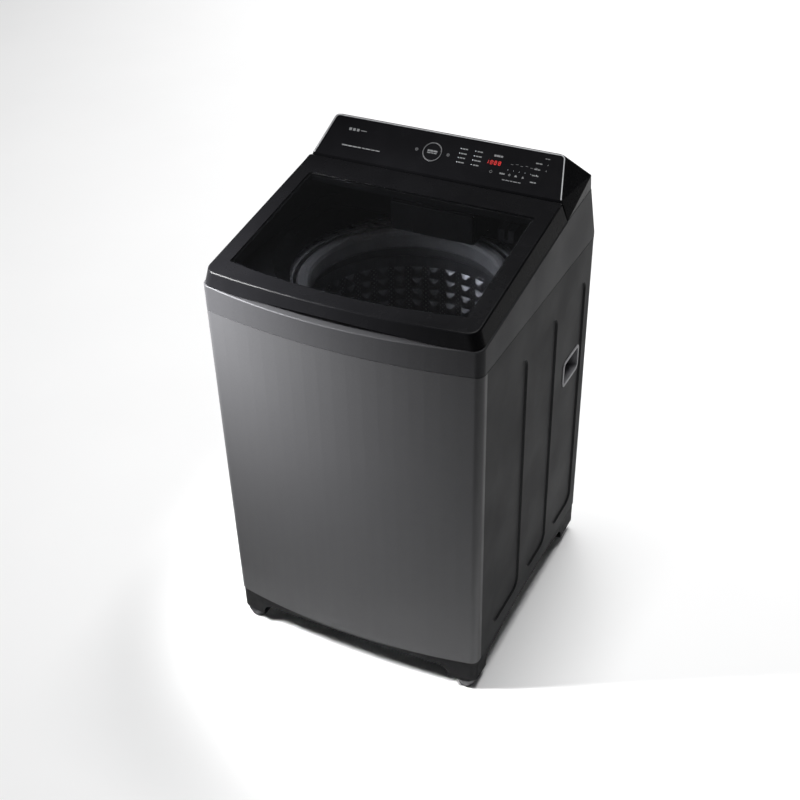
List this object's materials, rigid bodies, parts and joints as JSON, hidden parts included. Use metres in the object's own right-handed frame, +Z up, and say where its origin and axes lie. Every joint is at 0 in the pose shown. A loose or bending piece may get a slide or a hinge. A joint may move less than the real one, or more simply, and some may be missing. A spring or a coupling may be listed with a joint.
{
  "type": "top load washing machine",
  "caption": "Free-standing top load washer: glazed hinged lid, sloped console, suspended tub with spinning drum and wash plate, detergent drawer and levelling feet.",
  "frame": {"origin": "centre of the bounding box on the floor", "axes": "+Z up, the front faces -Y, +X to the right seen from the front"},
  "size_m": [0.622, 0.67, 1.0951],
  "materials": {
    "black_plastic": "satin moulded",
    "zinc_steel": "zinc plated",
    "front_paint": "satin metallic dark grey",
    "side_paint": "satin dark grey",
    "grey_plastic": "matt moulded",
    "cover_paint": "satin dark grey",
    "well_plastic": "satin moulded",
    "gloss_black": "high gloss",
    "panel_gloss": "high gloss",
    "silver_trim": "satin silver",
    "circuit_board": "solder mask",
    "valve_plastic": "glass filled",
    "spring_steel": "oiled",
    "tinted_glass": "tinted toughened",
    "black_rubber": "moulded",
    "tray_plastic": "satin moulded",
    "siphon_plastic": "satin moulded",
    "tub_plastic": "glass filled",
    "cover_ring_plastic": "satin moulded",
    "cast_aluminium": "as cast",
    "bearing_steel": "ground",
    "lamination_steel": "laminated",
    "copper_wire": "enamelled wire",
    "drum_steel": "stainless",
    "drum_plastic": "satin moulded",
    "shaft_steel": "ground",
    "rotor_steel": "zinc coated"
  },
  "bodies": {
    "cabinet": {"base_frame": "black_plastic", "foot_locknuts": "zinc_steel", "front_panel": "front_paint", "side_panel_left": "side_paint", "side_panel_right": "side_paint", "handle_cup_left": "grey_plastic", "handle_cup_right": "grey_plastic", "rear_panel": "zinc_steel", "drain_outlet": "black_plastic", "top_cover": "cover_paint", "well_liner": "well_plastic", "water_nozzle": "well_plastic", "console_housing": "gloss_black", "control_panel": "panel_gloss", "console_trim": "silver_trim", "main_board": "circuit_board", "inlet_valves": "valve_plastic", "power_gland": "black_plastic", "hinge_brackets": "black_plastic", "lid_lock": "black_plastic", "drawer_housing": "well_plastic", "suspension_rods": "zinc_steel", "rod_end_caps": "black_plastic", "suspension_springs": "spring_steel", "corner_brackets": "zinc_steel", "cabinet_screws": "zinc_steel"},
    "lid": {"lid_frame": "gloss_black", "lid_inner_frame": "well_plastic", "lid_glass": "tinted_glass", "lid_hinge_pins": "spring_steel", "lid_strike": "black_plastic", "lid_bumpers": "black_rubber"},
    "drawer": {"drawer_tray": "tray_plastic", "drawer_front": "well_plastic", "siphon_cap": "siphon_plastic"},
    "tub": {"outer_tub": "tub_plastic", "tub_cover": "cover_ring_plastic", "spring_caps": "black_plastic", "bearing_housing": "cast_aluminium", "shaft_bearings": "bearing_steel", "shaft_seal": "black_rubber", "stator": "lamination_steel", "stator_coils": "copper_wire", "drain_pump": "black_plastic", "tub_bolts": "zinc_steel"},
    "drum": {"drum_wall": "drum_steel", "drum_base": "drum_plastic", "balance_ring": "drum_plastic", "spin_shaft": "shaft_steel"},
    "pulsator": {"pulsator_plate": "drum_plastic", "drive_shaft": "shaft_steel", "rotor_cup": "rotor_steel", "rotor_nut": "zinc_steel"},
    "selector": {"selector_ring": "silver_trim"},
    "start": {"start_button": "panel_gloss"},
    "foot_front_left": {"foot_front_left": "black_rubber"},
    "foot_front_right": {"foot_front_right": "black_rubber"},
    "foot_rear_left": {"foot_rear_left": "black_rubber"},
    "foot_rear_right": {"foot_rear_right": "black_rubber"}
  },
  "joints": [
    {"name": "lid_hinge", "type": "hinge", "parent": "cabinet", "child": "lid", "pos_m": [0, 0.13293, 1.01928], "axis": [-1, 0, 0], "range_deg": [0, 104]},
    {"name": "drawer_slide", "type": "slide", "parent": "cabinet", "child": "drawer", "axis": [0, -1, 0], "range_m": [0, 0.09]},
    {"name": "tub_bounce", "type": "slide", "parent": "cabinet", "child": "tub", "axis": [0, 0, 1], "range_m": [-0.03, 0.008], "stiffness_N_per_m": 9000, "springref_m": 0.0313, "deforming": ["suspension_springs"]},
    {"name": "drum_spin", "type": "hinge", "parent": "tub", "child": "drum", "pos_m": [0, 0, 0.3], "axis": [0, 0, 1], "continuous": true},
    {"name": "pulsator_spin", "type": "hinge", "parent": "drum", "child": "pulsator", "pos_m": [0, 0, 0.3], "axis": [0, 0, 1], "continuous": true},
    {"name": "selector_turn", "type": "hinge", "parent": "cabinet", "child": "selector", "pos_m": [-0.02, 0.18219, 1.06358], "axis": [0, -0.6574, 0.7536], "continuous": true},
    {"name": "start_press", "type": "slide", "parent": "cabinet", "child": "start", "axis": [0, 0.6574, -0.7536], "range_m": [0, 0.0015], "stiffness_N_per_m": 400, "springref_m": -0.001},
    {"name": "foot_front_left_screw", "type": "slide", "parent": "cabinet", "child": "foot_front_left", "axis": [0, 0, -1], "range_m": [0, 0.015]},
    {"name": "foot_front_right_screw", "type": "slide", "parent": "cabinet", "child": "foot_front_right", "axis": [0, 0, -1], "range_m": [0, 0.015]},
    {"name": "foot_rear_left_screw", "type": "slide", "parent": "cabinet", "child": "foot_rear_left", "axis": [0, 0, -1], "range_m": [0, 0.015]},
    {"name": "foot_rear_right_screw", "type": "slide", "parent": "cabinet", "child": "foot_rear_right", "axis": [0, 0, -1], "range_m": [0, 0.015]}
  ]
}
